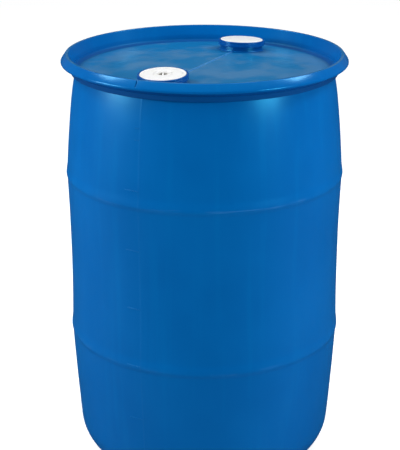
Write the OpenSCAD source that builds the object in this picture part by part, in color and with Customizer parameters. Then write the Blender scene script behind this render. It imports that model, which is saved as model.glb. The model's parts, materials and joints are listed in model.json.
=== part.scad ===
// Tight-head plastic drum, about 208 litres, with two threaded bungs.
// The origin is the centre of the standing face, +Z is up, and the two bungs lie on the X axis.

/* [Drum body] */
// Height from the floor to the top of the handling ring
drum_height = 889; // [760:1:1060]
// Largest radius, at the crest of the upper rolling hoop
hoop_r = 290; // [245:1:345]
// Thickness of the blow-moulded wall
wall = 4; // [3:0.1:5]
// How far below the top of the ring the upper hoop lies
upper_hoop_drop = 248.5; // [215:0.5:295]
// Height of the lower hoop above the floor
lower_hoop_z = 297.5; // [250:0.5:350]
// Height of the bead on each hoop
hoop_bead = 1.5; // [0.5:0.1:3]
// Height of the band that the bead fades out over
hoop_band = 22; // [14:1:30]
// How much the side draws in half way between the hoops
waist_draw = 3.2; // [0:0.1:8]
// How much the shoulder draws in from the upper hoop to the neck
shoulder_draw = 20; // [14:0.5:28]
// How much the side draws in from the lower hoop to the base corner
skirt_draw = 13.1; // [8:0.1:18]
// Radius of the rounded corner at the base
base_corner_r = 85; // [60:1:100]
// Width of the ring that the drum stands on
foot_w = 26; // [18:1:40]
// Depth of the hollow in the middle of the base
base_hollow = 9; // [4:0.5:14]

/* [Head and handling ring] */
// How deep the edge of the head lies below the top of the ring
head_depth = 33.5; // [28:0.5:40]
// How much the middle of the head stands above its edge
head_rise = 6; // [2:0.5:9]
// Radius of the flat middle of the head
crown_r = 100; // [60:1:110]
// How far the ring reaches out past the neck
ring_reach = 23.5; // [20:0.5:28]
// Thickness of the lip at the top of the ring
lip_w = 6; // [5:0.5:8]
// Width of the joint notch across the ring
notch_w = 2.4; // [1.5:0.1:4]
// Depth of the joint notch
notch_depth = 1.6; // [1:0.1:2.5]

/* [Bung collars] */
// Distance of each bung from the edge of the head
bung_inset = 81; // [72:1:90]
// Height of the boss that the head forms round each collar
boss_h = 10.5; // [8:0.5:14]
// Height of the collar above the boss
collar_h = 11; // [9:0.5:14]
// Width of the collar outside the plug
collar_wall = 4.1; // [3:0.1:6]
// Thickness of the collar's barrel outside its thread
barrel_wall = 4; // [3:0.1:6]
// Thickness of the boss outside the barrel
boss_wall = 5.9; // [4:0.1:7]
// Depth of the seat that the plug's flange lies in
seat_depth = 6.5; // [5.5:0.1:7.5]

/* [Plugs] */
// Radius of the coarse plug's thread over its crests
coarse_r = 34.9; // [29:0.1:42]
// Pitch of the coarse thread
coarse_pitch = 6; // [5:0.5:7]
// Radius of the fine plug's thread over its crests
fine_r = 29.8; // [25:0.1:34]
// Pitch of the fine thread
fine_pitch = 2.209; // [2:0.001:2.8]
// Radius of the centre plug's thread over its crests
centre_r = 13.1; // [11:0.1:15]
// Pitch of the centre plug's thread
centre_pitch = 1.814; // [1.6:0.001:2.2]
// Width of the sealing land outside the coarse thread
seal_land = 10.4; // [8:0.1:13]
// Thickness of each plug's flange
flange_t = 4.3; // [3.5:0.1:6]
// Thickness of the large gaskets
gasket_t = 2.4; // [1.6:0.1:3]
// Thickness of the centre plug's gasket
centre_gasket_t = 1.4; // [1:0.1:2]
// Radius of the wrench socket in the centre plug
socket_r = 9.5; // [8:0.1:9.8]
// Depth of the wrench socket
socket_depth = 9; // [6:0.5:10]
// Thickness of the bar across the wrench socket
bar_w = 2.6; // [2:0.1:3.5]
// Direction of that bar, seen from above
bar_angle = 26; // [0:1:180]
// Distance from the fine plug's middle to each of its two wrench holes
pin_hole_offset = 12; // [9:0.5:18]
// Radius of those wrench holes
pin_hole_r = 2; // [1.5:0.1:2.5]
// Direction of the line through those holes, seen from above
pin_hole_angle = 116; // [0:1:180]

/* [Clearances] */
// Gap between pieces that move on each other
running_gap = 0.3; // [0.2:0.05:0.4]
// Gap between a plug's flange and the collar round it
flange_gap = 0.6; // [0.4:0.1:1]
// Gap between the crests of one thread and the roots of the other
thread_gap = 0.65; // [0.55:0.05:0.8]

/* [Hidden] */
$fn = 120;

drum_blue = "#0062b0";
collar_blue = "#0a5aa6";
plug_white = "#f4f5f2";
gasket_grey = "#3a3d40";

// Heights and radii that the outline passes through.
upper_hoop_z = drum_height - upper_hoop_drop;
head_z = drum_height - head_depth;
neck_r = hoop_r - shoulder_draw;
neck_corner_r = 4.5;
neck_h = 10;
neck_z = head_z - neck_h;
head_r = neck_r - neck_corner_r - 3.5;

// Share of each draw that is a straight taper; the rest curves. The corner starts at its slope.
shoulder_taper = 0.66;
skirt_taper = 0.75;
corner_slope = atan((2 - skirt_taper) * skirt_draw / (lower_hoop_z - base_corner_r));
corner_top_z = base_corner_r * (1 - sin(corner_slope));
foot_r = hoop_r - skirt_draw - base_corner_r * cos(corner_slope);

// The side draws in from a hoop along a curve that steepens as it goes.
function draw_in(s, taper) = taper * s + (1 - taper) * s * s;
function shoulder_r(z) =
  let(s = (z - upper_hoop_z) / (neck_z - upper_hoop_z))
  hoop_r - shoulder_draw * draw_in(s, shoulder_taper);
function skirt_r(z) =
  let(s = (lower_hoop_z - z) / (lower_hoop_z - corner_top_z))
  hoop_r - skirt_draw * draw_in(s, skirt_taper);
function waist_r(z) =
  let(s = (z - lower_hoop_z) / (upper_hoop_z - lower_hoop_z))
  hoop_r - 4 * waist_draw * s * (1 - s);
function plain_r(z) =
  z > upper_hoop_z ? shoulder_r(z) : z < lower_hoop_z ? skirt_r(z) : waist_r(z);

// A hoop's bead rises sharply at its lower edge and fades out above.
function bead(dz) =
  dz <= -0.5 * hoop_band || dz >= hoop_band ? 0
  : dz < 0 ? sin(90 + 180 * dz / hoop_band) ^ 2
  : cos(90 * dz / hoop_band) ^ 2;
function side_r(z) =
  plain_r(z) - hoop_bead
  + hoop_bead * (bead(z - upper_hoop_z) + bead(z - lower_hoop_z));

// The head is flat in the middle and falls to its edge in a smooth S.
head_fall = head_r - crown_r;
function head_top(r) =
  head_z + head_rise * (0.5 + 0.5 * cos(180 * min(1, max(0, (r - crown_r) / head_fall))));
bung_r = head_r - bung_inset;
bung_z = head_top(bung_r);
bung_tilt = atan(0.5 * PI * head_rise / head_fall * sin(180 * (bung_r - crown_r) / head_fall));

// Depth of each thread, and its radii at the plug's core and at the collar's roots.
coarse_depth = 3.7;
fine_depth = 1.5;
centre_depth = 1.1;
coarse_core = coarse_r - coarse_depth;
fine_core = fine_r - fine_depth;
centre_core = centre_r - centre_depth;
coarse_root = coarse_r + thread_gap;
fine_root = fine_r + thread_gap;
centre_root = centre_r + 0.75 * thread_gap;

// Radii round a bung's own axis, and heights up it from the head's surface.
barrel_r = max(coarse_root, fine_root) + barrel_wall;
boss_r = barrel_r + boss_wall;
plug_r = coarse_r + seal_land;
collar_r = plug_r + flange_gap + collar_wall;
collar_top = boss_h + collar_h;
seat_z = collar_top - seat_depth;
barrel_bottom = -10;
boss_bottom = -8;
flange_z = seat_z + gasket_t + 2 * running_gap;
plug_top = flange_z + flange_t;
plug_bottom = -7;
coarse_thread_z = plug_bottom + 3;
fine_thread_z = plug_bottom + 2;
plate_z = flange_z - 1;
skirt_t = 4;

// Heights and radii of the centre plug, in the coarse plug's middle.
centre_flange_t = 2.8;
centre_top = plug_top - 0.4;
centre_flange_z = centre_top - centre_flange_t;
centre_seat_z = centre_flange_z - centre_gasket_t - 2 * running_gap;
centre_flange_r = centre_r + 4.5;
centre_boss_r = centre_flange_r + flange_gap + 3;
centre_bottom = centre_seat_z - 12;
centre_thread_z = centre_bottom + 1.5;

// Teeth as [distance out, distance up] from the core or the root, the heights as shares of the pitch.
// The coarse thread is a buttress: its loaded flanks are the steeper ones.
function tooth(depth, pitch, foot, heights) = [
  [-foot, heights[0] * pitch], [depth, heights[1] * pitch],
  [depth, heights[2] * pitch], [-foot, heights[3] * pitch]];
coarse_male = tooth(coarse_depth, coarse_pitch, 1, [-0.483, -0.083, 0.15, 0.217]);
coarse_female = tooth(-coarse_depth, coarse_pitch, -1, [0.9, 0.567, 0.267, 0.2]);
fine_male = tooth(fine_depth, fine_pitch, 0.5, [-0.385, -0.068, 0.068, 0.385]);
fine_female = tooth(-fine_depth, fine_pitch, -0.5, [0.385, 0.068, -0.068, -0.385]);
centre_male = tooth(centre_depth, centre_pitch, 0.5, [-0.413, -0.066, 0.066, 0.413]);
centre_female = tooth(-centre_depth, centre_pitch, -0.5, [0.413, 0.066, -0.066, -0.413]);

// One tooth swept up a right-hand helix.
module helical_tooth(r, pitch, turns, section, steps) {
  n = ceil(steps * turns);
  m = len(section);
  points = [
    for (i = [0 : n], p = section)
      let(a = 360 * i / steps)
      [(r + p[0]) * cos(a), (r + p[0]) * sin(a), pitch * i / steps + p[1]]
  ];
  first_end = [for (k = [m - 1 : -1 : 0]) k];
  last_end = [for (k = [0 : m - 1]) n * m + k];
  sides = [
    for (i = [0 : n - 1], k = [0 : m - 1])
      let(next = (k + 1) % m)
      [i * m + k, i * m + next, (i + 1) * m + next, (i + 1) * m + k]
  ];
  polyhedron(points, concat([first_end], sides, [last_end]), convexity = 8);
}

// A flat ring from one radius to another, or a disc when the first is 0.
module washer(inner, outer, low, high) {
  rotate_extrude() translate([inner, low]) square([outer - inner, high - low]);
}

// Places its children on a bung's axis: side is 1 for +X and -1 for -X.
module at_bung(side) {
  rotate([0, 0, side > 0 ? 0 : 180])
    translate([bung_r, 0, bung_z])
      rotate([0, bung_tilt, 0])
        children();
}

// Points round an arc, from one angle to another.
function arc(x, y, r, from, to, n) =
  [for (i = [0 : n]) let(a = from + (to - from) * i / n) [x + r * cos(a), y + r * sin(a)]];

// Heights at which the side is drawn: close together on each hoop's bead.
function hoop_steps(z) = [for (i = [-4 : 8]) z + i * hoop_band / 8];
function even_steps(low, high, n) = [for (i = [1 : n - 1]) low + (high - low) * i / n];
side_heights = concat(
  even_steps(corner_top_z, lower_hoop_z - hoop_band / 2, 8), hoop_steps(lower_hoop_z),
  even_steps(lower_hoop_z + hoop_band, upper_hoop_z - hoop_band / 2, 10), hoop_steps(upper_hoop_z),
  even_steps(upper_hoop_z + hoop_band, neck_z, 7));

// Half of the drum's outside, from the middle of the base to the middle of the head.
outer_points = concat(
  [[0, base_hollow], [0.62 * foot_r, base_hollow]],
  [[foot_r - foot_w, 0]],
  arc(foot_r - hoop_bead, base_corner_r, base_corner_r, -90, -corner_slope, 14),
  [for (z = side_heights) [side_r(z), z]],
  [[neck_r - hoop_bead, neck_z], [neck_r, neck_z + 2]],
  arc(neck_r - neck_corner_r, head_z - neck_corner_r, neck_corner_r, 0, 90, 5),
  [for (i = [0 : 12]) let(r = head_r - head_fall * i / 12) [r, head_top(r)]],
  [[0, head_top(0)]]);

module shell_outline() {
  polygon(outer_points);
}

// The inside is the whole outline, both halves, drawn in by the wall.
module shell_section() {
  difference() {
    shell_outline();
    offset(delta = -wall) {
      shell_outline();
      mirror([1, 0]) shell_outline();
    }
  }
}

// The head forms a boss round each collar's barrel, with a small cone at its foot.
module boss() {
  translate([0, 0, boss_bottom]) cylinder(r = boss_r, h = boss_h - boss_bottom);
  translate([0, 0, -wall / 2]) cylinder(r1 = boss_r + 4, r2 = boss_r, h = wall);
}

module drum_shell() {
  color(drum_blue) difference() {
    union() {
      rotate_extrude() shell_section();
      at_bung(1) boss();
      at_bung(-1) boss();
    }
    at_bung(1) collar_body();
    at_bung(-1) collar_body();
  }
}

// Section of the handling ring: fillet on the head, lip, sloping outside, bead, stepped underside.
lip_r = neck_r + 8;
lip_round = 1.5;
bead_r = neck_r + ring_reach;
bead_round = 3;
bead_drop = 15;
// The underside's steps, as [distance out from the neck, distance down from the top].
under_steps = [[13, 19], [11, 20.5], [10, 24.5], [5.5, 26.5], [4, 36.5], [1.5, 39.5], [-1, 39.5]];
module ring_section() {
  difference() {
    polygon(concat(
      [[head_r, head_z], [head_r + 3, head_z + 0.8], [head_r + 5.5, head_z + 4.5],
       [lip_r, drum_height - 2]],
      arc(lip_r + lip_round, drum_height - lip_round, lip_round, 180, 90, 4),
      arc(lip_r + lip_w - lip_round, drum_height - lip_round, lip_round, 90, 20, 4),
      arc(bead_r - bead_round, drum_height - bead_drop, bead_round, 40, -90, 8),
      [for (p = under_steps) [neck_r + p[0], drum_height - p[1]]]));
    shell_outline();
  }
}

// The joint notch is a V across the lip and a slot down the outside, at -X.
module handling_ring() {
  color(drum_blue) difference() {
    rotate_extrude() ring_section();
    translate([-bead_r, 0, drum_height])
      rotate([45, 0, 0])
        cube([4 * (bead_r - lip_r), notch_w / sqrt(2), notch_w / sqrt(2)], center = true);
    translate([-bead_r - 1, -notch_w / 2, head_z])
      cube([notch_depth + 1, notch_w, head_depth + 1]);
  }
}

// A low rib (or a groove, when rise is negative) on a radius, from low to high.
function rib(r, rise, low, high) =
  let(slope = 0.8 * abs(rise))
  [[r, low], [r + rise, low + slope], [r + rise, high - slope], [r, high]];

// Outside of a collar: a grooved head above the boss, and a barrel with two anchor ribs in it.
collar_edge = 0.9;
module collar_body() {
  rotate_extrude() polygon(concat(
    [[0, barrel_bottom], [barrel_r, barrel_bottom]],
    rib(barrel_r, 1.4, boss_bottom + 3, boss_bottom + 6.6),
    rib(barrel_r, 1.4, boss_h - 7.1, boss_h - 3.5),
    [[barrel_r, boss_h], [collar_r - collar_edge, boss_h], [collar_r, boss_h + collar_edge]],
    rib(collar_r, -0.6, collar_top - 4, collar_top - 2.4),
    [[collar_r, collar_top - collar_edge], [collar_r - collar_edge, collar_top],
     [0, collar_top]]));
}

// A collar with its seat and bore; root is the radius of the bore between its teeth.
module collar_shell(root) {
  difference() {
    collar_body();
    translate([0, 0, seat_z]) cylinder(r = plug_r + flange_gap, h = seat_depth + 1);
    translate([0, 0, barrel_bottom - 1]) cylinder(r = root, h = seat_z - barrel_bottom + 2);
  }
}

module coarse_bung_collar() {
  color(collar_blue) at_bung(-1) union() {
    collar_shell(coarse_root);
    translate([0, 0, coarse_thread_z - coarse_pitch])
      helical_tooth(coarse_root, coarse_pitch, 3, coarse_female, 36);
  }
}

module fine_bung_collar() {
  color(collar_blue) at_bung(1) union() {
    collar_shell(fine_root);
    translate([0, 0, fine_thread_z - 1.5 * fine_pitch])
      helical_tooth(fine_root, fine_pitch, 8, fine_female, 32);
  }
}

// A plug's flange and hollow threaded skirt, closed by a plate under the flange.
module plug_body(core) {
  edge = 0.9;
  face_groove_r = 0.85 * plug_r;
  face_groove = 0.5;
  difference() {
    union() {
      rotate_extrude() polygon([
        [0, flange_z], [plug_r, flange_z], [plug_r, plug_top - edge],
        [plug_r - edge, plug_top], [0, plug_top]]);
      washer(0, core, plug_bottom, flange_z);
    }
    washer(0, core - skirt_t, plug_bottom - 1, plate_z);
    washer(face_groove_r - face_groove, face_groove_r + face_groove,
           plug_top - face_groove, plug_top + 1);
  }
}

module coarse_plug() {
  color(plug_white) at_bung(-1) union() {
    difference() {
      union() {
        plug_body(coarse_core);
        washer(0, centre_boss_r, centre_bottom, plate_z + 0.5);
      }
      washer(0, centre_flange_r + flange_gap, centre_seat_z, plug_top + 1);
      washer(0, centre_root, centre_bottom - 1, centre_seat_z + 1);
    }
    translate([0, 0, coarse_thread_z])
      helical_tooth(coarse_core, coarse_pitch, 2.25, coarse_male, 36);
    translate([0, 0, centre_thread_z - 0.5 * centre_pitch])
      helical_tooth(centre_root, centre_pitch, 4.75, centre_female, 28);
  }
}

module coarse_gasket() {
  color(gasket_grey) at_bung(-1)
    washer(coarse_r + running_gap, plug_r - 0.6, seat_z + running_gap, flange_z - running_gap);
}

// The centre plug has a round wrench socket with a bar across it.
module centre_plug() {
  socket_floor = centre_top - socket_depth;
  color(plug_white) at_bung(-1) union() {
    difference() {
      union() {
        washer(0, centre_flange_r, centre_flange_z, centre_top);
        washer(0, centre_core, centre_bottom, centre_flange_z);
      }
      washer(0, socket_r, socket_floor, centre_top + 1);
      washer(0, centre_core - 3, centre_bottom - 1, socket_floor - 2.4);
    }
    intersection() {
      rotate([0, 0, bar_angle])
        translate([-socket_r - 1, -bar_w / 2, socket_floor - 1])
          cube([2 * socket_r + 2, bar_w, socket_depth]);
      washer(0, socket_r + 0.5, socket_floor - 1, centre_top - 1);
    }
    translate([0, 0, centre_thread_z])
      helical_tooth(centre_core, centre_pitch, 4, centre_male, 28);
  }
}

module centre_gasket() {
  color(gasket_grey) at_bung(-1)
    washer(centre_r + running_gap, centre_flange_r - 0.3,
           centre_seat_z + running_gap, centre_flange_z - running_gap);
}

module fine_plug() {
  color(plug_white) at_bung(1) union() {
    difference() {
      plug_body(fine_core);
      for (side = [-1, 1])
        rotate([0, 0, pin_hole_angle])
          translate([side * pin_hole_offset, 0, plug_top - 3])
            cylinder(r = pin_hole_r, h = 4, $fn = 32);
    }
    translate([0, 0, fine_thread_z])
      helical_tooth(fine_core, fine_pitch, 6, fine_male, 32);
  }
}

module fine_gasket() {
  color(gasket_grey) at_bung(1)
    washer(fine_r + running_gap, plug_r - 0.6, seat_z + running_gap, flange_z - running_gap);
}

drum_shell();
handling_ring();
coarse_bung_collar();
fine_bung_collar();
coarse_plug();
coarse_gasket();
centre_plug();
centre_gasket();
fine_plug();
fine_gasket();
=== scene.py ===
import json
import math

import bmesh
import bpy
from mathutils import Matrix, Vector
from mathutils.bvhtree import BVHTree


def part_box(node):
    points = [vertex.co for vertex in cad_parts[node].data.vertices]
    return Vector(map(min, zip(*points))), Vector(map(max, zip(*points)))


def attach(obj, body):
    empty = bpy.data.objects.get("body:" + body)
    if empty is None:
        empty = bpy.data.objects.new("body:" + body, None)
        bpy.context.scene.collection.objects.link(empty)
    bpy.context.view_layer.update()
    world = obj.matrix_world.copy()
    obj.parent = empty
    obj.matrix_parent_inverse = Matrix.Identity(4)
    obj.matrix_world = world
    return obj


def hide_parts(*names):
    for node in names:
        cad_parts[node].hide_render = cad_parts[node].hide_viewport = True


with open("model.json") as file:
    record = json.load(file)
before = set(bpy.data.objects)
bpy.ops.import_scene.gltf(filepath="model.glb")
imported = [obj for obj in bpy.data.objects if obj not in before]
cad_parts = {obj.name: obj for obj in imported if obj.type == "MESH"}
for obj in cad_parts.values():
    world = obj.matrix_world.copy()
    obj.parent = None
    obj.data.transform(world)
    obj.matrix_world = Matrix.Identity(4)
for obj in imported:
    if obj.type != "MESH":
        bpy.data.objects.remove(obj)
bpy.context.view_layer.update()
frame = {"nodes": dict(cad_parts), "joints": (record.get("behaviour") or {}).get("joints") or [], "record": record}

# Blue plastic drum with a handling ring and two screwed bungs.
# Piece sizes below are millimetres; the scene itself is in metres.
mm = 0.001
joints = {joint["name"]: joint for joint in frame["joints"]}


class Flow:  # one output socket that can be used in sums
    def __init__(self, graph, node, socket):
        self.graph = graph
        self.node = node
        self.socket = socket

    def out(self, name):
        return Flow(self.graph, self.node, pickSocket(self.node.outputs, name))

    def maths(self, operation, *others):
        return self.graph.maths(operation, self, *others)

    def __add__(self, other):
        return self.maths("ADD", other)

    def __radd__(self, other):
        return self.graph.maths("ADD", other, self)

    def __sub__(self, other):
        return self.maths("SUBTRACT", other)

    def __rsub__(self, other):
        return self.graph.maths("SUBTRACT", other, self)

    def __mul__(self, other):
        return self.maths("MULTIPLY", other)

    def __rmul__(self, other):
        return self.graph.maths("MULTIPLY", other, self)

    def __truediv__(self, other):
        return self.maths("DIVIDE", other)

    def __rtruediv__(self, other):
        return self.graph.maths("DIVIDE", other, self)

    def __neg__(self):
        return self * -1.0

    def __abs__(self):
        return self.maths("ABSOLUTE")


def pickSocket(sockets, name):
    if isinstance(name, int):
        return sockets[name]
    return next(socket for socket in sockets if socket.name == name and socket.enabled)


class Graph:  # a node tree while it is being wired
    def __init__(self, tree):
        self.tree = tree

    def add(self, kind, settings=None, sockets=None):
        node = self.tree.nodes.new(kind)
        for name, value in (settings or {}).items():
            setattr(node, name, value)
        for name, value in (sockets or {}).items():
            socket = pickSocket(node.inputs, name)
            if isinstance(value, Flow):
                self.tree.links.new(value.socket, socket)
            else:
                socket.default_value = value
        first = next((socket for socket in node.outputs if socket.enabled), None)
        return Flow(self, node, first)

    def maths(self, operation, *values):
        return self.add("ShaderNodeMath", {"operation": operation}, dict(enumerate(values)))

    def bell(self, value, width):  # 1 at 0, fading to nothing a few widths away
        share = value / width
        return self.maths("EXPONENT", -(share * share))

    def fade(self, value, start, end):  # 0 at start, 1 at end, smooth between
        sockets = {"Value": value, "From Min": start, "From Max": end}
        return self.add("ShaderNodeMapRange", {"interpolation_type": "SMOOTHSTEP"}, sockets)

    def mix(self, share, first, second):
        sockets = {"Factor": share, "A": first, "B": second}
        return self.add("ShaderNodeMix", {"data_type": "RGBA"}, sockets)

    def scaled(self, place, scale):
        return self.add("ShaderNodeVectorMath", {"operation": "MULTIPLY"}, {0: place, 1: scale})

    def noise(self, place, scale, detail=2.0, roughness=0.5):
        sockets = {"Vector": place, "Scale": scale, "Detail": detail, "Roughness": roughness}
        return self.add("ShaderNodeTexNoise", None, sockets)


socketTypes = {int: "NodeSocketInt", float: "NodeSocketFloat",
               bpy.types.Material: "NodeSocketMaterial", bpy.types.Object: "NodeSocketObject"}


def geometryTree(name, inputs):
    tree = bpy.data.node_groups.new(name, "GeometryNodeTree")
    tree.interface.new_socket("Geometry", in_out="INPUT", socket_type="NodeSocketGeometry")
    for label, value in inputs.items():
        kind = value if isinstance(value, type) else type(value)
        socket = tree.interface.new_socket(label, in_out="INPUT", socket_type=socketTypes[kind])
        if not isinstance(value, type):
            socket.default_value = value
    tree.interface.new_socket("Geometry", in_out="OUTPUT", socket_type="NodeSocketGeometry")
    graph = Graph(tree)
    return graph, graph.add("NodeGroupInput")


def closeTree(graph, geometry, creases, material):
    angle = graph.add("GeometryNodeInputMeshEdgeAngle")
    smooth = graph.add("GeometryNodeSetShadeSmooth", {"domain": "FACE"}, {"Geometry": geometry})
    sharp = graph.add("GeometryNodeSetShadeSmooth", {"domain": "EDGE"},
                      {"Geometry": smooth, "Selection": angle.maths("GREATER_THAN", creases),
                       "Shade Smooth": False})
    real = graph.add("GeometryNodeRealizeInstances", None, {"Geometry": sharp})
    done = graph.add("GeometryNodeSetMaterial", None, {"Geometry": real, "Material": material})
    graph.add("NodeGroupOutput", None, {"Geometry": done})
    return graph.tree


def sweptGrid(graph, section, steps):  # a grid with one column of the section for each step
    count = graph.add("GeometryNodeAttributeDomainSize", None, {"Geometry": section})
    count = count.out("Point Count")
    grid = graph.add("GeometryNodeMeshGrid", None, {"Vertices X": steps + 1.0, "Vertices Y": count})
    index = graph.add("GeometryNodeInputIndex")
    column = ((index + 0.5) / count).maths("FLOOR")
    row = index - column * count + 0.5

    def sample(kind, value):
        return graph.add("GeometryNodeSampleIndex", {"data_type": kind},
                         {"Geometry": section, "Value": value, "Index": row})

    place = sample("FLOAT_VECTOR", graph.add("GeometryNodeInputPosition"))
    corner = graph.add("ShaderNodeSeparateXYZ", None, {"Vector": place})
    return grid, column / steps, corner.out("X"), corner.out("Z"), sample


def around(graph, radius, angle, height):
    sockets = {"X": radius * angle.maths("COSINE"), "Y": radius * angle.maths("SINE"), "Z": height}
    return graph.add("ShaderNodeCombineXYZ", None, sockets)


def makeTurnTree():  # turns a section round Z, with a parting line, a notch and a slight ripple
    graph, group = geometryTree("turnedSection", {
        "Segments": 96, "Crowding": 0.0, "Seam Width": 1.0 * mm, "Notch Width": 1.0 * mm,
        "Dip Width": 12.0 * mm, "Dip Share": 0.3, "Ripple Depth": 0.0, "Ripple Scale": 9.0,
        "Creases": 0.6, "Material": bpy.types.Material})
    section = group.out("Geometry")
    grid, share, radius, height, sample = sweptGrid(graph, section, group.out("Segments"))
    # Columns crowd together where the two mould halves met.
    angle = math.pi + 2 * math.pi * share
    angle = angle - group.out("Crowding") * 0.5 * (4 * math.pi * share).maths("SINE")
    shape = graph.add("GeometryNodeSetPosition", None,
                      {"Geometry": grid, "Position": around(graph, radius, angle, height)})
    marks = ("seam", "notch", "ripple")
    for mark in marks:
        named = graph.add("GeometryNodeInputNamedAttribute", {"data_type": "FLOAT"}, {"Name": mark})
        shape = graph.add("GeometryNodeStoreNamedAttribute", {"data_type": "FLOAT", "domain": "POINT"},
                          {"Geometry": shape, "Name": mark, "Value": sample("FLOAT", named)})
    shape = graph.add("GeometryNodeMergeByDistance", None, {"Geometry": shape, "Distance": 0.005 * mm})
    seam, notch, ripple = [
        graph.add("GeometryNodeInputNamedAttribute", {"data_type": "FLOAT"}, {"Name": mark})
        for mark in marks]
    place = graph.add("GeometryNodeInputPosition")
    axes = graph.add("ShaderNodeSeparateXYZ", None, {"Vector": place})
    across = axes.out("Y")
    dip = group.out("Dip Share") * graph.bell(across, group.out("Dip Width"))
    gap = notch * (graph.bell(across, group.out("Notch Width")) + dip)
    gap = gap * axes.out("X").maths("LESS_THAN", 0.0)
    wave = graph.noise(place, group.out("Ripple Scale"), detail=1.0) - 0.5
    rise = seam * graph.bell(across, group.out("Seam Width")) - gap
    rise = rise + ripple * group.out("Ripple Depth") * wave
    offset = graph.add("ShaderNodeVectorMath", {"operation": "SCALE"},
                       {0: graph.add("GeometryNodeInputNormal"), "Scale": rise})
    shape = graph.add("GeometryNodeSetPosition", None, {"Geometry": shape, "Offset": offset})
    for mark in marks:
        shape = graph.add("GeometryNodeRemoveAttribute", None, {"Geometry": shape, "Name": mark})
    return closeTree(graph, shape, group.out("Creases"), group.out("Material"))


def makeThreadTree():  # winds a tooth up a right-hand helix and fades it out at both ends
    graph, group = geometryTree("woundTooth", {
        "Steps": 160, "Turns": 2.0, "Pitch": 2.0 * mm, "Run In": 0.2, "Root": 10.0 * mm,
        "Middle": 0.0, "Creases": 0.9, "Material": bpy.types.Material})
    section = group.out("Geometry")
    grid, share, radius, height, sample = sweptGrid(graph, section, group.out("Steps"))
    turn = share * group.out("Turns")
    toEnd = graph.maths("MINIMUM", turn, group.out("Turns") - turn)
    growth = graph.fade(toEnd, 0.0, group.out("Run In"))
    radius = group.out("Root") + (radius - group.out("Root")) * growth
    height = group.out("Middle") + (height - group.out("Middle")) * growth
    place = around(graph, radius, turn * (2 * math.pi), height + turn * group.out("Pitch"))
    shape = graph.add("GeometryNodeSetPosition", None, {"Geometry": grid, "Position": place})
    shape = graph.add("GeometryNodeMergeByDistance", None, {"Geometry": shape, "Distance": 0.005 * mm})
    return closeTree(graph, shape, group.out("Creases"), group.out("Material"))


def makeTickTree():  # a row of raised ticks laid on a turned side
    graph, group = geometryTree("tickRow", {
        "Skin": bpy.types.Object, "Count": 5, "First": 0.2, "Step": 0.1, "Start Angle": 3.1,
        "Width": 30.0 * mm, "Distance": 0.4, "Bead": 0.5 * mm, "Creases": 1.2,
        "Material": bpy.types.Material})
    rowStart = graph.add("ShaderNodeCombineXYZ", None, {"Z": group.out("First")})
    rowStep = graph.add("ShaderNodeCombineXYZ", None, {"Z": group.out("Step")})
    row = graph.add("GeometryNodeMeshLine", None,
                    {"Count": group.out("Count"), "Start Location": rowStart, "Offset": rowStep})
    end = graph.add("ShaderNodeCombineXYZ", None, {"X": group.out("Width")})
    tick = graph.add("GeometryNodeCurvePrimitiveLine", None, {"End": end})
    tick = graph.add("GeometryNodeResampleCurve", None, {"Curve": tick, "Count": 24})
    ticks = graph.add("GeometryNodeInstanceOnPoints", None, {"Points": row, "Instance": tick})
    ticks = graph.add("GeometryNodeRealizeInstances", None, {"Geometry": ticks})
    axes = graph.add("ShaderNodeSeparateXYZ", None, {"Vector": graph.add("GeometryNodeInputPosition")})
    distance = group.out("Distance")
    angle = group.out("Start Angle") - axes.out("X") / distance
    outside = around(graph, distance, angle, axes.out("Z"))
    inwards = around(graph, -1.0 * distance, angle, 0.0)
    skin = graph.add("GeometryNodeObjectInfo", None, {"Object": group.out("Skin")}).out("Geometry")
    hit = graph.add("GeometryNodeRaycast", None,
                    {"Target Geometry": skin, "Source Position": outside,
                     "Ray Direction": inwards, "Ray Length": distance})
    ticks = graph.add("GeometryNodeSetPosition", None,
                      {"Geometry": ticks, "Position": hit.out("Hit Position")})
    bead = graph.add("GeometryNodeCurvePrimitiveCircle", None,
                     {"Resolution": 10, "Radius": group.out("Bead")})
    shape = graph.add("GeometryNodeCurveToMesh", None,
                      {"Curve": ticks, "Profile Curve": bead, "Fill Caps": True})
    return closeTree(graph, shape, group.out("Creases"), group.out("Material"))


turnTree = makeTurnTree()
threadTree = makeThreadTree()
tickTree = makeTickTree()


def addObject(name, mesh):
    piece = bpy.data.objects.new(name, mesh)
    bpy.context.scene.collection.objects.link(piece)
    return piece


def settle(piece):  # the evaluated shape becomes a plain mesh
    graph = bpy.context.evaluated_depsgraph_get()
    mesh = bpy.data.meshes.new_from_object(piece.evaluated_get(graph), depsgraph=graph)
    old = piece.data
    piece.modifiers.clear()
    piece.data = mesh
    bpy.data.meshes.remove(old)
    return piece


def grown(piece, tree, values):
    modifier = piece.modifiers.new("grow", "NODES")
    modifier.node_group = tree
    for item in tree.interface.items_tree:
        if item.in_out == "INPUT" and item.name in values:
            modifier[item.identifier] = values[item.name]
    return settle(piece)


def join(first, *others):
    solid = bmesh.new()
    for piece in (first, *others):
        solid.from_mesh(piece.data)
    solid.to_mesh(first.data)
    solid.free()
    for piece in others:
        bpy.data.objects.remove(piece)
    return first


def cut(piece, *tools):
    for tool in tools:
        modifier = piece.modifiers.new("cut", "BOOLEAN")
        modifier.object = tool
        modifier.operation = "DIFFERENCE"
        modifier.solver = "EXACT"
    settle(piece)
    for tool in tools:
        bpy.data.objects.remove(tool)
    return piece


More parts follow.
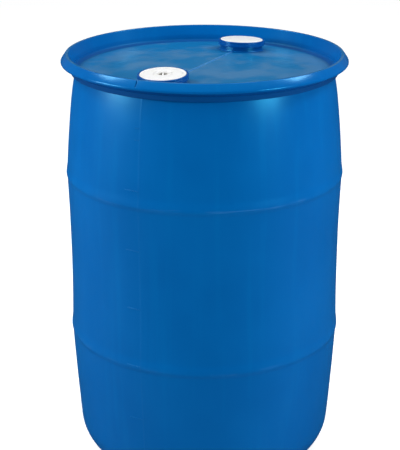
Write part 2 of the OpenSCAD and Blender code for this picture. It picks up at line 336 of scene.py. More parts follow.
def rounded(corners, closed=False):  # corners are (radius, height, fillet)
    points = []
    count = len(corners)
    for i, (x, y, fillet) in enumerate(corners):
        here = Vector((x, y))
        if fillet == 0 or (not closed and i in (0, count - 1)):
            points.append((x, y))
            continue
        toBack = Vector(corners[i - 1][:2]) - here
        toNext = Vector(corners[(i + 1) % count][:2]) - here
        opening = toBack.angle(toNext)
        reach = min(fillet / math.tan(opening / 2), 0.49 * toBack.length, 0.49 * toNext.length)
        fillet = reach * math.tan(opening / 2)
        start = here + toBack.normalized() * reach
        finish = here + toNext.normalized() * reach
        middle = here + (toBack.normalized() + toNext.normalized()).normalized() * (
            fillet / math.sin(opening / 2))
        sweep = math.pi - opening
        steps = max(2, round(sweep / math.radians(18)))
        first = (start - middle).angle_signed(Vector((1, 0)))
        turn = sweep if (finish - middle).angle_signed(start - middle) > 0 else -sweep
        for step in range(steps + 1):
            angle = first + turn * step / steps
            points.append((middle.x + fillet * math.cos(angle), middle.y + fillet * math.sin(angle)))
    if closed:
        points.append(points[0])
    return points


def sectionObject(name, points, marks=None):
    mesh = bpy.data.meshes.new(name)
    places = [(x * mm, 0, y * mm) for x, y in points]
    mesh.from_pydata(places, [(i, i + 1) for i in range(len(places) - 1)], [])
    for mark in ("seam", "notch", "ripple"):
        rule = (marks or {}).get(mark, lambda x, y: 0.0)
        layer = mesh.attributes.new(mark, "FLOAT", "POINT")
        layer.data.foreach_set("value", [float(rule(x, y)) for x, y in points])
    return addObject(name, mesh)


def turned(name, points, material, marks=None, **values):
    values = {label.replace("_", " "): value for label, value in values.items()}
    return grown(sectionObject(name, points, marks), turnTree, {"Material": material, **values})


def finish(name, paint):
    material = bpy.data.materials.new(name)
    material.use_nodes = True
    material.node_tree.nodes.clear()
    graph = Graph(material.node_tree)
    place = graph.add("ShaderNodeTexCoord").out("Object")
    graph.add("ShaderNodeOutputMaterial", None, {"Surface": paint(graph, place)})
    return material


def plastic(graph, constants, colour, roughness, relief, depth):
    bump = graph.add("ShaderNodeBump", None, {"Strength": 1.0, "Distance": depth, "Height": relief})
    sockets = {"Base Color": colour, "Roughness": roughness, "Normal": bump}
    return graph.add("ShaderNodeBsdfPrincipled", None, {**constants, **sockets})


# top and the pale film colour paint sheen on up-facing faces, the film being partly dust; seam is a painted
# highlight; shade is painted shade.
blueSkin = {
    "base": (0.0, 0.121, 0.415, 1), "deep": (0.0, 0.109, 0.385, 1), "pale": (0.0, 0.140, 0.445, 1),
    "scuff": (0.10, 0.27, 0.56, 1), "dustAndSheen": (0.25, 0.30, 0.32, 1), "top": (0.0, 0.138, 0.35, 1),
    "shade": (0.0, 0.05, 0.23, 1), "seam": (0.20, 0.48, 0.74, 1), "roughness": 0.31,
    "streaks": 0.4, "wear": 0.22, "wearBand": 3.5, "cornerWear": (60.0, 15.0), "film": 0.17,
    "lineWidth": 2.4, "lineShare": 0.6, "footReach": 13.0, "footShade": 0.6, "underShade": 0.8,
    "rimReach": 12.0, "rimShade": 0.7, "slitWidth": 1.1, "relief": 0.06,
    "shader": {"IOR": 1.5, "Specular IOR Level": 0.5, "Specular Tint": (0.04, 0.62, 1.0, 1)}}


def paintBlueSkin(graph, place, gloss=0.0, darker=0.0):
    axes = graph.add("ShaderNodeSeparateXYZ", None, {"Vector": place})
    along, across, height = axes.out("X"), axes.out("Y"), axes.out("Z")
    radius = (along * along + across * across).maths("SQRT")
    cloud = graph.noise(place, 5.0, 3.0)
    streak = graph.noise(graph.scaled(place, (46, 46, 1.6)), 1.0, 3.0)
    rub = graph.noise(graph.scaled(place, (9, 9, 420)), 1.0, 3.0, 0.7)
    patch = graph.noise(place, 16.0, 2.0)
    colour = graph.mix(graph.fade(cloud, 0.35, 0.68), blueSkin["deep"], blueSkin["base"])
    colour = graph.mix(graph.fade(streak, 0.5, 0.75) * blueSkin["streaks"], colour, blueSkin["pale"])
    # Hoops and the base corner are rubbed pale where drums roll and slide.
    worn = 0.0
    for hoop in (upperHoop, lowerHoop):
        worn = worn + graph.bell(height - (hoop + 1.0) * mm, blueSkin["wearBand"] * mm)
    worn = worn + graph.fade(height, blueSkin["cornerWear"][0] * mm, blueSkin["cornerWear"][1] * mm)
    worn = worn * graph.fade(rub, 0.5, 0.66) * graph.fade(patch, 0.42, 0.6)
    colour = graph.mix(worn * blueSkin["wear"], colour, blueSkin["scuff"])
    # What faces up is painted greener, a painted sheen, with a patchy pale film that is partly dust and partly
    # painted sheen.
    normal = graph.add("ShaderNodeNewGeometry").out("Normal")
    facing = graph.add("ShaderNodeSeparateXYZ", None, {"Vector": normal}).out("Z")
    level = graph.fade(facing, 0.9, 0.99)
    colour = graph.mix(level, colour, blueSkin["top"])
    film = graph.noise(graph.scaled(place, (1, 1, 0.2)), 11.0, 4.0, 0.6)
    dustAndSheen = level * (0.01 + blueSkin["film"] * graph.fade(film, 0.4, 0.62))
    colour = graph.mix(dustAndSheen, colour, blueSkin["dustAndSheen"])
    # The parting line is painted pale, a painted highlight, strongest on the up-facing head.
    line = graph.bell(across, blueSkin["lineWidth"] * mm) * (0.01 + blueSkin["lineShare"] * level)
    line = line * graph.fade(height, (headEdge + 14) * mm, (headEdge + 12) * mm)
    colour = graph.mix(line, colour, blueSkin["seam"])
    # Painted shade keeps to the bosses' feet, under the ring, round the head's rim and in the notch.
    away = abs(along) - bungOffset * mm
    away = (away * away + across * across).maths("SQRT")
    foot = graph.fade(away, (bossRadius + blueSkin["footReach"]) * mm, bossRadius * mm)
    foot = foot * graph.fade(height, 0.8, 0.85)
    under = graph.fade(height, (top - ring["beadLow"]) * mm, (top - ring["beadLow"] - 5) * mm)
    under = under * graph.fade(height, (neckFoot - 2) * mm, (neckFoot + 1) * mm)
    under = under * graph.fade(facing, 0.5, 0.2)
    rim = graph.fade(radius, (headRadius - blueSkin["rimReach"]) * mm, (headRadius - 1) * mm)
    rim = rim * graph.fade(height, (headEdge - 3) * mm, (headEdge - 2) * mm)
    rim = rim * graph.fade(height, (headEdge + 8) * mm, (headEdge + 1) * mm)
    slit = graph.bell(across, blueSkin["slitWidth"] * mm) * along.maths("LESS_THAN", 0.0)
    slit = slit * graph.fade(height, (top - ring["notchDrop"]) * mm, (top - ring["notchDrop"] + 2) * mm)
    lip = neckRadius + ring["lipReach"]
    slit = slit * graph.fade(radius, (lip + 1) * mm, (lip + 3) * mm)
    hidden = foot * blueSkin["footShade"] + under * blueSkin["underShade"] + rim * blueSkin["rimShade"]
    # darker adds an even painted shade over the whole piece.
    hidden = hidden + slit + darker
    colour = graph.mix(hidden.maths("MINIMUM", 0.95), colour, blueSkin["shade"])
    roughness = blueSkin["roughness"] - gloss + (cloud - 0.5) * 0.10 + worn * 0.15 + dustAndSheen * 0.3
    roughness = roughness + rim * 0.35
    grain = graph.noise(place, 1500.0, 2.0)
    peel = graph.noise(place, 160.0, 2.0)
    relief = peel + grain * 0.12 + worn * rub * 0.5
    return plastic(graph, blueSkin["shader"], colour, roughness, relief, blueSkin["relief"] * mm)


blueMoulding = {
    "base": (0.0, 0.062, 0.28, 1), "pale": (0.0, 0.09, 0.35, 1),
    "shader": {"IOR": 1.5, "Specular IOR Level": 0.6, "Specular Tint": (0.12, 0.65, 1.0, 1)}}


def paintBlueMoulding(graph, place):
    cloud = graph.noise(place, 30.0, 3.0)
    rub = graph.noise(graph.scaled(place, (60, 60, 900)), 1.0, 2.0)
    mark = graph.fade(rub, 0.55, 0.72)
    colour = graph.mix(graph.fade(cloud, 0.4, 0.7) * 0.6, blueMoulding["base"], blueMoulding["pale"])
    colour = graph.mix(mark * 0.18, colour, blueSkin["scuff"])
    roughness = 0.14 + cloud * 0.1 + mark * 0.15
    relief = graph.noise(place, 420.0, 2.0) + mark * 0.4
    return plastic(graph, blueMoulding["shader"], colour, roughness, relief, 0.02 * mm)


whitePlug = {
    "base": (0.78, 0.785, 0.79, 1), "warm": (0.74, 0.745, 0.72, 1), "grimeAndShade": (0.42, 0.41, 0.38, 1),
    "socketDirtAndShade": (14.0, 9.5), "socketDeep": (-0.8, -3.0),
    "shader": {"IOR": 1.5, "Specular IOR Level": 0.4}}


def paintWhitePlug(graph, place):
    cloud = graph.noise(place, 45.0, 3.0)
    speck = graph.noise(place, 520.0, 3.0, 0.6)
    swirl = graph.noise(graph.scaled(place, (240, 60, 240)), 1.0, 3.0)
    colour = graph.mix(graph.fade(cloud, 0.4, 0.7), whitePlug["base"], whitePlug["warm"])
    colour = graph.mix(graph.fade(speck, 0.66, 0.76) * 0.25, colour, whitePlug["grimeAndShade"])
    # Dirt gathers round the socket, and painted shade darkens it further down into the socket.
    spot = graph.add("ShaderNodeVectorMath", {"operation": "SUBTRACT"}, {0: place, 1: socketTop})
    aside = graph.add("ShaderNodeVectorMath", {"operation": "CROSS_PRODUCT"}, {0: spot, 1: socketAxis})
    aside = graph.add("ShaderNodeVectorMath", {"operation": "LENGTH"}, {0: aside}).out("Value")
    rise = graph.add("ShaderNodeVectorMath", {"operation": "DOT_PRODUCT"}, {0: spot, 1: socketAxis})
    sunk = graph.fade(rise.out("Value"), *[depth * mm for depth in whitePlug["socketDeep"]]) * 0.5
    dirtAndShade = graph.fade(aside, *[width * mm for width in whitePlug["socketDirtAndShade"]])
    dirtAndShade = dirtAndShade * (0.5 + sunk) * (0.7 + 0.6 * cloud)
    colour = graph.mix(dirtAndShade, colour, whitePlug["grimeAndShade"])
    roughness = 0.34 + (cloud - 0.5) * 0.15 + graph.fade(swirl, 0.55, 0.7) * 0.12
    relief = speck * 0.4 + graph.fade(swirl, 0.6, 0.72) * 0.3
    return plastic(graph, whitePlug["shader"], colour, roughness, relief, 0.02 * mm)


darkRubber = {
    "base": (0.030, 0.031, 0.033, 1), "bloom": (0.075, 0.076, 0.078, 1),
    "shader": {"IOR": 1.5, "Specular IOR Level": 0.3}}


def paintDarkRubber(graph, place):
    bloom = graph.noise(place, 120.0, 3.0)
    grain = graph.noise(place, 2200.0, 2.0)
    colour = graph.mix(graph.fade(bloom, 0.42, 0.7), darkRubber["base"], darkRubber["bloom"])
    roughness = 0.62 + bloom * 0.2
    return plastic(graph, darkRubber["shader"], colour, roughness, grain + bloom * 0.3, 0.03 * mm)


def reach(node, place):  # lowest and highest point along an axis, and the widest radius, in millimetres
    back = place.inverted()
    points = [back @ corner.co for corner in frame["nodes"][node].data.vertices]
    heights = [point.z / mm for point in points]
    return min(heights), max(heights), max(math.hypot(point.x, point.y) / mm for point in points)


def bungPlace(joint):  # the matrix that stands a piece on its bung's leaning axis
    up = Vector(joints[joint]["axis"]).normalized()
    origin = Vector(joints[joint]["pos_m"])
    along = Vector((math.copysign(up.z, origin.x), 0, -abs(up.x)))
    turn = Matrix((along, up.cross(along), up)).transposed()
    return Matrix.Translation(origin) @ turn.to_4x4()


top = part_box("handling_ring")[1].z / mm
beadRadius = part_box("handling_ring")[1].x / mm
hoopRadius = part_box("drum_shell")[1].x / mm
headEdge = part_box("handling_ring")[0].z / mm + 6.0  # the ring's wall starts below the head's edge
upperHoop = top - 248.5
lowerHoop = 297.5


shell = {
    "wall": 4.0, "shoulderDraw": 20.0, "skirtDraw": 13.1, "waistDraw": 3.2, "shoulderTaper": 0.66,
    "skirtTaper": 0.75, "shoulderTuck": 3.0, "tuckHeight": 50.0, "hoopBead": 1.5, "hoopBand": 22.0,
    "cornerRadius": 85.0, "footWidth": 26.0, "footRound": 5.0, "baseHollow": 9.0, "hollowRound": 30.0,
    "neckHeight": 5.5, "neckCorner": 4.5, "headEdge": 3.5, "headRise": 6.0, "crownRadius": 100.0,
    "sideSeam": 0.22, "headSeam": 1.2, "seamWidth": 1.8, "ripple": 0.9}

neckRadius = hoopRadius - shell["shoulderDraw"]
neckFoot = headEdge - shell["neckHeight"]
headRadius = neckRadius - shell["neckCorner"] - shell["headEdge"]
skirtHeight = lowerHoop - shell["cornerRadius"]
cornerSlope = math.atan((2 - shell["skirtTaper"]) * shell["skirtDraw"] / skirtHeight)
cornerTop = shell["cornerRadius"] * (1 - math.sin(cornerSlope))
footRadius = hoopRadius - shell["skirtDraw"] - shell["cornerRadius"] * math.cos(cornerSlope)


def drawIn(share, taper):
    return taper * share + (1 - taper) * share * share


def plainRadius(z):
    if z > upperHoop:
        share = (z - upperHoop) / (neckFoot - upperHoop)
        tuck = shell["shoulderTuck"] * share ** 8
        return hoopRadius - shell["shoulderDraw"] * drawIn(share, shell["shoulderTaper"]) - tuck
    if z < lowerHoop:
        share = (lowerHoop - z) / (lowerHoop - cornerTop)
        return hoopRadius - shell["skirtDraw"] * drawIn(share, shell["skirtTaper"])
    share = (z - lowerHoop) / (upperHoop - lowerHoop)
    return hoopRadius - 4 * shell["waistDraw"] * share * (1 - share)


def bead(rise):  # sharp at the lower edge, faded above
    band = shell["hoopBand"]
    if rise <= -0.5 * band or rise >= band:
        return 0.0
    if rise < 0:
        return math.cos(math.pi * rise / band) ** 2
    return math.cos(0.5 * math.pi * rise / band) ** 2


def sideRadius(z):
    lift = bead(z - upperHoop) + bead(z - lowerHoop)
    return plainRadius(z) + shell["hoopBead"] * (lift - 1)


def headHeight(x):
    share = min(1, max(0, (x - shell["crownRadius"]) / (headRadius - shell["crownRadius"])))
    return headEdge + shell["headRise"] * (0.5 + 0.5 * math.cos(math.pi * share))


def spread(start, end, count):  # evenly from start, up to but not including end
    return [start + (end - start) * i / count for i in range(count)]


def arc(x, y, radius, start, end, count):
    angles = [start + (end - start) * i / count for i in range(count + 1)]
    return [(x + radius * math.cos(angle), y + radius * math.sin(angle)) for angle in angles]


def outerPoints():
    band = shell["hoopBand"]
    corner = shell["cornerRadius"]
    neckCorner = shell["neckCorner"]
    heights = spread(cornerTop, lowerHoop - band / 2, 14)[1:]
    heights += spread(lowerHoop - band / 2, lowerHoop + band, 18)
    heights += spread(lowerHoop + band, upperHoop - band / 2, 20)
    heights += spread(upperHoop - band / 2, upperHoop + band, 18)
    tuckLow = neckFoot - shell["tuckHeight"]
    heights += spread(upperHoop + band, tuckLow, 9) + spread(tuckLow, neckFoot, 10)
    hollow = shell["baseHollow"]
    points = rounded([(0, hollow, 0), (0.62 * footRadius, hollow, shell["hollowRound"]),
                      (footRadius - shell["footWidth"], 0, shell["footRound"]), (footRadius - 1.5, 0, 0)])
    points += arc(footRadius - shell["hoopBead"], corner, corner, -0.5 * math.pi, -cornerSlope, 18)[1:]
    points += [(sideRadius(z), z) for z in heights]
    points += [(sideRadius(neckFoot), neckFoot), (neckRadius - 1, neckFoot + 1)]
    points += arc(neckRadius - neckCorner, headEdge - neckCorner, neckCorner, 0, 0.5 * math.pi, 5)
    points += [(x, headHeight(x)) for x in spread(headRadius, 6.0, 42) + [6.0, 3.0, 1.2, 0]]
    return points


def offsetPath(points, distance):  # the same path moved to its left
    moved = []
    for i, point in enumerate(points):
        before = Vector(points[max(i - 1, 0)])
        after = Vector(points[min(i + 1, len(points) - 1)])
        along = (after - before).normalized()
        moved.append((max(0, point[0] - along.y * distance), point[1] + along.x * distance))
    return moved


def shellSeam(x, y):
    if y > headEdge - 1:
        return shell["headSeam"] * mm * min(1, (headRadius - x) / 30 + 0.3) if x < headRadius else 0.0
    return shell["sideSeam"] * mm * min(1, max(0, (y - 4) / 30))


def shellRipple(x, y):
    if y > headEdge - 1:
        return 0.3 * min(1, x / 60) * (x < headRadius)
    return min(1, max(0, (y - 20) / 100))


def makeShell():
    points = outerPoints()
    outside = turned(
        "drumShell", points, drumBlue, {"seam": shellSeam, "ripple": shellRipple},
        Segments=320, Crowding=0.93, Seam_Width=shell["seamWidth"] * mm,
        Ripple_Depth=shell["ripple"] * mm, Ripple_Scale=9.0, Creases=0.5)
    skin = BVHTree.FromPolygons([v.co for v in outside.data.vertices],
                                [p.vertices for p in outside.data.polygons])
    inside = turned("shellInside", offsetPath(points, shell["wall"])[::-1], drumBlue, Segments=96)
    return join(outside, inside), skin


collar = {
    "barrelWall": 4.0, "bossWall": 5.9, "bossHeight": 10.5, "bossDepth": 8.0, "bossFillet": 5.0,
    "bossEdge": 1.2, "rib": 1.4, "ribWidth": 3.6, "lowRib": 3.0, "highRib": 3.5, "wall": 4.1,
    "edge": 1.1, "groove": 0.8, "grooveDrop": 3.2, "grooveHalf": 0.8, "flangeGap": 0.6,
    "runningGap": 0.3}
plug = {"skirt": 4.0, "edge": 1.4, "grooveAt": 0.85, "grooveHalf": 0.55, "grooveDepth": 0.5}
centre = {
    "flange": 2.8, "bossWall": 3.0, "socket": 9.5, "socketDepth": 9.0,
    "barWidth": 2.6, "barAngle": 26.0, "barDrop": 1.0}
pins = {"radius": 2.0, "offset": 12.0, "depth": 3.0, "angle": 116.0}
threads = {
    "coarse": {"crest": 34.9, "depth": 3.7, "pitch": 6.0, "foot": 1.0, "gap": 0.65, "round": 0.5,
               "male": (-0.483, -0.083, 0.15, 0.217), "female": (0.9, 0.567, 0.267, 0.2),
               "maleTurns": 2.25, "femaleTurns": 3.0, "start": 3.0, "lead": 1.0},
    "fine": {"crest": 29.8, "depth": 1.5, "pitch": 2.209, "foot": 0.5, "gap": 0.65, "round": 0.15,
             "male": (-0.385, -0.068, 0.068, 0.385), "female": (0.385, 0.068, -0.068, -0.385),
             "maleTurns": 6.0, "femaleTurns": 8.0, "start": 2.0, "lead": 1.5},
    "centre": {"crest": 13.1, "depth": 1.1, "pitch": 1.814, "foot": 0.5, "gap": 0.4875, "round": 0.12,
               "male": (-0.413, -0.066, 0.066, 0.413), "female": (0.413, 0.066, -0.066, -0.413),
               "maleTurns": 4.0, "femaleTurns": 4.75, "start": 1.5, "lead": 0.5}}
rootRadius = threads["coarse"]["crest"] + threads["coarse"]["gap"]
barrelRadius = rootRadius + collar["barrelWall"]
bossRadius = barrelRadius + collar["bossWall"]


def thread(name, kind, side, material, low):  # low is where the tooth starts up its axis
    size = threads[kind]
    male = side == "male"
    outwards = 1 if male else -1
    root = size["crest"] - size["depth"] if male else size["crest"] + size["gap"]
    reaches = (-size["foot"], size["depth"], size["depth"], -size["foot"])
    start = low if male else low - size["lead"] * size["pitch"]
    corners = [(root + outwards * reach, start + share * size["pitch"], size["round"])
               for reach, share in zip(reaches, size[side])]
    steps = 48 if kind == "coarse" else 40
    section = sectionObject(name, rounded(corners, closed=True))
    turns = size[side + "Turns"]
    return grown(section, threadTree, {
        "Steps": math.ceil(steps * turns), "Turns": turns, "Pitch": size["pitch"] * mm,
        "Root": corners[0][0] * mm, "Middle": sum(corner[1] for corner in corners) / 4 * mm,
        "Material": material})


def rib(radius, rise, low, high):
    slope = 0.8 * abs(rise)
    fillet = 0.3 * abs(rise)
    return [(radius, low, fillet), (radius + rise, low + slope, fillet),
            (radius + rise, high - slope, fillet), (radius, high, fillet)]


def barrelRibs(radius):
    low = collar["lowRib"] - collar["bossDepth"]
    high = collar["bossHeight"] - collar["highRib"]
    width = collar["ribWidth"]
    return rib(radius, collar["rib"], low, low + width) + rib(radius, collar["rib"], high - width, high)


def makeBoss(name, place, skin):
    fillet = collar["bossFillet"]
    edge = collar["bossEdge"]
    low = -collar["bossDepth"]
    high = collar["bossHeight"]
    wall = [(x, y, 0) for x, y, _ in barrelRibs(barrelRadius)[::-1]]
    corners = [(barrelRadius, low, 0), (bossRadius, low, 1), (bossRadius, -3, 0),
               (bossRadius + fillet + 3, -1, 0), (bossRadius + fillet + 3, -0.08, 0),
               (bossRadius, -0.08, fillet), (bossRadius, high, edge), (barrelRadius, high, 0)]
    points = rounded(corners + wall, closed=True)
    seam = {"seam": lambda x, y: shell["sideSeam"] * mm * (x > bossRadius - 0.5) * (y > 0.5)}
    boss = turned(name, points, drumBlue, seam, Segments=128, Crowding=0.85, Seam_Width=0.9 * mm)
    down = -place.col[2].to_3d()
    for corner in boss.data.vertices:
        above = place @ Vector((corner.co.x, corner.co.y, 20 * mm))
        hit = skin.ray_cast(above, down)[0]
        share = max(0.0, 1 - max(0.0, corner.co.z / mm) / (0.8 * high))
        corner.co.z += (20 * mm - (above - hit).length) * share
    boss.data.transform(place)
    return boss


def makeCollar(name, kind, place, low, high, plugRadius, seat, plugLow):
    size = threads[kind]
    root = size["crest"] + size["gap"]
    outer = plugRadius + collar["flangeGap"] + collar["wall"]
    edge = collar["edge"]
    drop = high - collar["grooveDrop"]
    half = collar["grooveHalf"]
    corners = [(root, low, 0.5), (barrelRadius, low, 0.8)] + barrelRibs(barrelRadius)
    corners += [(barrelRadius, collar["bossHeight"], 0), (outer, collar["bossHeight"], edge)]
    corners += rib(outer, -collar["groove"], drop - half, drop + half)
    corners += [(outer, high, edge), (outer - collar["wall"], high, 0.5),
                (outer - collar["wall"], seat, 0.4), (root, seat, 0.5)]
    body = turned(name, rounded(corners, closed=True), collarBlue, Segments=160)
    tooth = thread(name + "Thread", kind, "female", collarBlue, plugLow + size["start"])
    join(body, tooth)
    body.data.transform(place)
    return body


def plugFace(radius, flangeLow, high, inner):  # from the skirt up over the flange and in to the middle
    at = plug["grooveAt"] * radius
    half = plug["grooveHalf"]
    depth = plug["grooveDepth"]
    return [(radius, flangeLow, 0.4), (radius, high, plug["edge"]),
            (at + half, high, 0.15), (at + 0.5 * half, high - depth, 0.2),
            (at - 0.5 * half, high - depth, 0.2), (at - half, high, 0.15)] + inner


def makeCoarsePlug(name, place, low, high, radius, flangeLow, small):
    size = threads["coarse"]
    core = size["crest"] - size["depth"]
    inner = core - plug["skirt"]
    plateLow = flangeLow - 1
    bore = threads["centre"]["crest"] + threads["centre"]["gap"]
    recess = small["flangeRadius"] + collar["flangeGap"]
    boss = recess + centre["bossWall"]
    corners = [(bore, small["low"], 0.5), (boss, small["low"], 0.8), (boss, plateLow, 1.5),
               (inner, plateLow, 1.5), (inner, low, 0.6), (core, low, 0.8), (core, flangeLow, 0.4)]
    corners += plugFace(radius, flangeLow, high, [(recess, high, 0.5), (recess, small["seat"], 0.3),
                                                  (bore, small["seat"], 0.3)])
    body = turned(name, rounded(corners, closed=True), plugWhite, Segments=160)
    outerTooth = thread(name + "Outer", "coarse", "male", plugWhite, low + size["start"])
    innerTooth = thread(name + "Inner", "centre", "female", plugWhite,
                        small["low"] + threads["centre"]["start"])
    join(body, outerTooth, innerTooth)
    body.data.transform(place)
    return body


def makeFinePlug(name, place, low, high, radius, flangeLow):
    size = threads["fine"]
    core = size["crest"] - size["depth"]
    inner = core - plug["skirt"]
    plateLow = flangeLow - 1
    corners = [(0, plateLow, 0), (inner, plateLow, 1.5), (inner, low, 0.6), (core, low, 0.8),
               (core, flangeLow, 0.4)]
    corners += plugFace(radius, flangeLow, high, [(pins["offset"] + 6, high, 0), (0, high, 0)])
    body = turned(name, rounded(corners), plugWhite, Segments=160)
    holes = []
    for side in (-1, 1):
        angle = math.radians(pins["angle"])
        hole = rounded([(0, high - pins["depth"], 0), (pins["radius"], high - pins["depth"], 0.8),
                        (pins["radius"], high - 0.5, 0), (pins["radius"] + 0.8, high + 0.3, 0),
                        (0, high + 0.3, 0)])
        tool = turned("pinHole", hole, plugWhite, Segments=32)
        spot = Vector((math.cos(angle), math.sin(angle), 0)) * side * pins["offset"] * mm
        tool.data.transform(Matrix.Translation(spot))
        holes.append(tool)
    cut(body, *holes)
    join(body, thread(name + "Thread", "fine", "male", plugWhite, low + size["start"]))
    body.data.transform(place)
    return body


def makeCentrePlug(name, place, low, high, radius):
    size = threads["centre"]
    core = size["crest"] - size["depth"]
    floor = high - centre["socketDepth"]
    flangeLow = high - centre["flange"]
    socket = centre["socket"]
    corners = [(0, floor - 2.4, 0), (core - 3, floor - 2.4, 0.8), (core - 3, low, 0.4), (core, low, 0.5),
               (core, flangeLow, 0.3), (radius, flangeLow, 0.3), (radius, high, 0.6),
               (socket, high, 0.5), (socket, floor, 0.6), (0, floor, 0)]
    body = turned(name, rounded(corners), plugWhite, Segments=96)
    mesh = bpy.data.meshes.new("socketBar")
    solid = bmesh.new()
    bmesh.ops.create_cube(solid, size=1.0)
    barHigh = high - centre["barDrop"]
    length = 2 * math.sqrt(socket ** 2 - (centre["barWidth"] / 2) ** 2) + 0.6
    barSize = Vector((length, centre["barWidth"], barHigh - floor + 1)) * mm
    bmesh.ops.scale(solid, vec=barSize, verts=solid.verts)
    bmesh.ops.bevel(solid, geom=solid.edges, offset=0.5 * mm, segments=3, affect="EDGES", profile=0.5)
    bmesh.ops.translate(solid, vec=(0, 0, 0.5 * (barHigh + floor - 1) * mm), verts=solid.verts)
    bmesh.ops.rotate(solid, matrix=Matrix.Rotation(math.radians(centre["barAngle"]), 3, "Z"),
                     verts=solid.verts)
    for face in solid.faces:
        face.smooth = True
    solid.to_mesh(mesh)
    solid.free()
    bar = addObject("socketBar", mesh)
    tooth = thread(name + "Thread", "centre", "male", plugWhite, low + size["start"])
    join(body, bar, tooth)
    body.data.transform(place)
    return body


def makeGasket(name, place, low, high, outer, inner):
    corners = [(inner, low, 0.5), (outer, low, 0.6), (outer, high, 0.6), (inner, high, 0.5)]
    body = turned(name, rounded(corners, closed=True), gasketRubber, Segments=128)
    body.data.transform(place)
    return body


def drawBung(kind, skin):
    place = bungPlace(kind + "_plug_turn")
    collarLow, collarHigh, collarWide = reach(kind + "_bung_collar", place)
    low, high, wide = reach(kind + "_plug", place)
    gasketLow, gasketHigh, gasketWide = reach(kind + "_gasket", place)
    gap = collar["runningGap"]
    inner = threads[kind]["crest"] + gap
    pieces = {
        kind + "_bung_collar": makeCollar(kind + "Collar", kind, place, collarLow, collarHigh, wide,
                                          gasketLow - gap, low),
        kind + "_gasket": makeGasket(kind + "Gasket", place, gasketLow, gasketHigh, gasketWide, inner)}
    if kind == "fine":
        pieces["fine_plug"] = makeFinePlug("finePlug", place, low, high, wide, gasketHigh + gap)
        return pieces, makeBoss("fineBoss", place, skin), place
    smallLow, smallHigh, smallWide = reach("centre_plug", place)
    sealLow, sealHigh, sealWide = reach("centre_gasket", place)
    small = {"low": smallLow, "seat": sealLow - gap, "flangeRadius": smallWide}
    pieces["coarse_plug"] = makeCoarsePlug("coarsePlug", place, low, high, wide, gasketHigh + gap, small)
    pieces["centre_plug"] = makeCentrePlug("centrePlug", place, smallLow, smallHigh, smallWide)
    pieces["centre_gasket"] = makeGasket("centreGasket", place, sealLow, sealHigh, sealWide,
                                         threads["centre"]["crest"] + gap)
    return pieces, makeBoss("coarseBoss", place, skin), place


def holeTool(place):
    radius = barrelRadius + 3
    points = [(0, -16), (radius, -16), (radius, 16), (0, 16)]
    tool = turned("holeTool", points, drumBlue, Segments=96)
    tool.data.transform(place)
    return tool


ring = {
    "lipReach": 8.0, "lip": 6.0, "lipRound": 1.6, "beadTop": 13.6, "beadLow": 18.0, "beadRound": 3.0,
    "slopeRound": 4.0, "shelf": 5.0, "foot": 4.0, "footWidth": 1.5, "steps": ((2, 24.5), (3, 20.5), (5, 19)),
    "notch": 2.2, "notchDrop": 12.0, "notchWidth": 1.0, "dipWidth": 11.0, "dipShare": 0.3, "ripple": 0.5,
    "gloss": 0.1, "darker": 0.22}


def makeRing():
    lip = neckRadius + ring["lipReach"]
    beadTop = top - ring["beadTop"]
    beadLow = top - ring["beadLow"]
    foot = headEdge - ring["foot"]
    corners = [(neckRadius - 1, foot, 0), (neckRadius + ring["footWidth"], foot, 0.4),
               (neckRadius + 4, headEdge - 3, 2), (neckRadius + 5.5, top - 26.5, 1.5)]
    corners += [(lip + out, top - drop, 1) for out, drop in ring["steps"]]
    corners += [(beadRadius - ring["shelf"], beadLow, 1), (beadRadius, beadLow, ring["beadRound"]),
                (beadRadius, beadTop, ring["slopeRound"]),
                (lip + ring["lip"], top, ring["lipRound"] + 0.6), (lip, top, ring["lipRound"]),
                (headRadius + 5.5, headEdge + 3, 5), (headRadius - 2, headEdge - 0.3, 0),
                (headRadius - 2, headEdge - 3, 0)]

    def notch(x, y):
        upwards = min(1, max(0, (y - top + ring["notchDrop"]) / 4))
        return ring["notch"] * mm * upwards * min(1, max(0, (x - lip - 1) / 3))

    def ripple(x, y):
        return float(lip + 2 < x < beadRadius - 2 and beadTop < y < top - 2)

    return turned("handlingRing", rounded(corners, closed=True), ringBlue,
                  {"notch": notch, "ripple": ripple}, Segments=320, Crowding=0.93,
                  Notch_Width=ring["notchWidth"] * mm, Dip_Width=ring["dipWidth"] * mm,
                  Dip_Share=ring["dipShare"], Ripple_Depth=ring["ripple"] * mm, Ripple_Scale=14.0)


ticks = {"count": 5, "first": 178.0, "step": 123.5, "width": 33.0, "bead": 0.75, "offset": 2.5,
         "shortFirst": 771.0, "shortStep": 23.0, "shortCount": 2, "shortWidth": 12.0}


def makeTicks(name, skinObject, first, step, count, width, offset):
    row = addObject(name, bpy.data.meshes.new(name))
    return grown(row, tickTree, {
        "Skin": skinObject, "Count": count, "First": first * mm, "Step": step * mm,
        "Start Angle": math.pi - offset / hoopRadius, "Width": width * mm,
        "Distance": (hoopRadius + 30) * mm, "Bead": ticks["bead"] * mm, "Material": drumBlue})


bungOffset = abs(joints["coarse_plug_turn"]["pos_m"][0]) / mm
coarseStand = bungPlace("coarse_plug_turn")
socketAxis = coarseStand.col[2].to_3d()
socketTop = coarseStand @ Vector((0, 0, reach("centre_plug", coarseStand)[1] * mm))

drumBlue = finish("drumBlue", paintBlueSkin)
# The ring's finish is the drum's, glossier and with an even painted shade over it.
ringBlue = finish("ringBlue", lambda graph, place: paintBlueSkin(graph, place, ring["gloss"], ring["darker"]))
collarBlue = finish("collarBlue", paintBlueMoulding)
plugWhite = finish("plugWhite", paintWhitePlug)
gasketRubber = finish("gasketRubber", paintDarkRubber)
print("finishes made")


bodyOf = {node: body for body, nodes in frame["record"]["behaviour"]["bodies"].items() for node in nodes}


def hand(piece, *nodes):
    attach(piece, bodyOf[nodes[0]])
    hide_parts(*nodes)


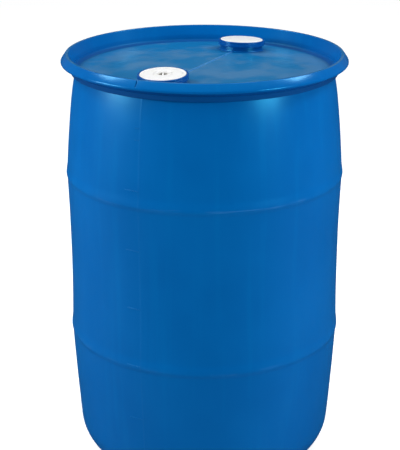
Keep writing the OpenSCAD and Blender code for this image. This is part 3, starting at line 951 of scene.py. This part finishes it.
drumShell, skin = makeShell()
print("shell turned")
coarsePieces, coarseBoss, coarsePlace = drawBung("coarse", skin)
finePieces, fineBoss, finePlace = drawBung("fine", skin)
print("bungs made")
gradTicks = makeTicks("graduationTicks", drumShell, ticks["first"], ticks["step"], ticks["count"],
                      ticks["width"], ticks["offset"])
shortTicks = makeTicks("shortTicks", drumShell, ticks["shortFirst"], ticks["shortStep"],
                       ticks["shortCount"], ticks["shortWidth"], ticks["offset"])
join(gradTicks, shortTicks)
cut(drumShell, holeTool(coarsePlace), holeTool(finePlace))
join(drumShell, coarseBoss, fineBoss)
handlingRing = makeRing()
print("ring made")
hand(drumShell, "drum_shell")
hand(handlingRing, "handling_ring")
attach(gradTicks, "drum")
for node, piece in {**coarsePieces, **finePieces}.items():
    hand(piece, node)
print("pieces handed to the frame")


paper = {"colour": (0.92, 0.92, 0.92, 1), "shade": (0.9, 0.9, 0.9, 1),
         "bounce": (0.49, 0.52, 0.54, 1), "mirrored": (0.02, 0.05, 0.06, 1),
         "glow": (0.38, 0.38, 0.38, 1)}


def paintPaper(graph, place):  # it throws less light back on the drum than it shows
    patch = graph.noise(place, 3.0, 2.0)
    path = graph.add("ShaderNodeLightPath")
    colour = graph.mix(patch, paper["colour"], paper["shade"])
    colour = graph.mix(path.out("Is Diffuse Ray"), colour, paper["bounce"])
    colour = graph.mix(path.out("Is Glossy Ray"), colour, paper["mirrored"])
    glow = graph.mix(path.out("Is Camera Ray"), (0, 0, 0, 1), paper["glow"])
    constants = {"Specular IOR Level": 0.0, "Emission Strength": 1.0, "Emission Color": glow}
    return plastic(graph, constants, colour, 0.7 + patch * 0.05, patch, 0.01 * mm)


def makeFloor():
    bpy.ops.mesh.primitive_plane_add(size=60)
    floor = bpy.context.object
    floor.name = "floor"
    floor.data.materials.append(finish("palePaper", paintPaper))


lamps = {  # bearings are from the camera's
    "leftBox": {"bearing": -76, "distance": 2.6, "height": 1.38, "wide": 1.1, "tall": 0.7,
                "power": 46, "aim": 0.8},
    "rightBox": {"bearing": 53, "distance": 2.6, "height": 1.38, "wide": 0.9, "tall": 0.7,
                 "power": 38, "aim": 0.8},
    "leftHigh": {"bearing": -95, "distance": 2.0, "height": 2.7, "wide": 0.7, "tall": 0.7,
                 "power": 29, "aim": 0.88},
    "rightHigh": {"bearing": 93, "distance": 2.0, "height": 2.7, "wide": 0.7, "tall": 0.7,
                  "power": 29, "aim": 0.88}}


def softBox(name, bearing, distance, height, wide, tall, power, aim):
    light = bpy.data.lights.new(name, "AREA")
    light.shape = "RECTANGLE"
    light.size = wide
    light.size_y = tall
    light.energy = power
    lamp = addObject(name, light)
    angle = math.radians(view["bearing"] + bearing)
    lamp.location = (distance * math.cos(angle), distance * math.sin(angle), height)
    lamp.rotation_euler = (Vector((0, 0, aim)) - lamp.location).to_track_quat("-Z", "Y").to_euler()


view = {"bearing": -153.9, "distance": 2.484, "height": 1.4215, "pitch": 20.14, "lens": 98.5, "yaw": 0.22}
sky = {"low": (0.08, 0.085, 0.09, 1), "high": (1.1, 1.1, 1.1, 1), "strength": 1.0}


def makeSky():
    world = bpy.data.worlds.new("studio")
    bpy.context.scene.world = world
    world.use_nodes = True
    world.node_tree.nodes.clear()
    graph = Graph(world.node_tree)
    up = graph.add("ShaderNodeSeparateXYZ", None,
                   {"Vector": graph.add("ShaderNodeTexCoord").out("Generated")}).out("Z")
    colour = graph.mix(graph.fade(up, 0.55, 0.8), sky["low"], sky["high"])
    light = graph.add("ShaderNodeBackground", None, {"Color": colour, "Strength": sky["strength"]})
    graph.add("ShaderNodeOutputWorld", None, {"Surface": light})


def makeCamera():
    data = bpy.data.cameras.new("camera")
    data.lens = view["lens"]
    data.sensor_width = 36
    camera = addObject("camera", data)
    angle = math.radians(view["bearing"])
    camera.location = (view["distance"] * math.cos(angle), view["distance"] * math.sin(angle),
                       view["height"])
    camera.rotation_euler = (math.radians(90 - view["pitch"]), 0,
                             math.radians(view["bearing"] + 90 + view["yaw"]))
    bpy.context.scene.camera = camera


makeFloor()
makeSky()
for name, values in lamps.items():
    softBox(name, **values)
makeCamera()
bpy.context.scene.view_settings.view_transform = "Standard"
print("studio ready")
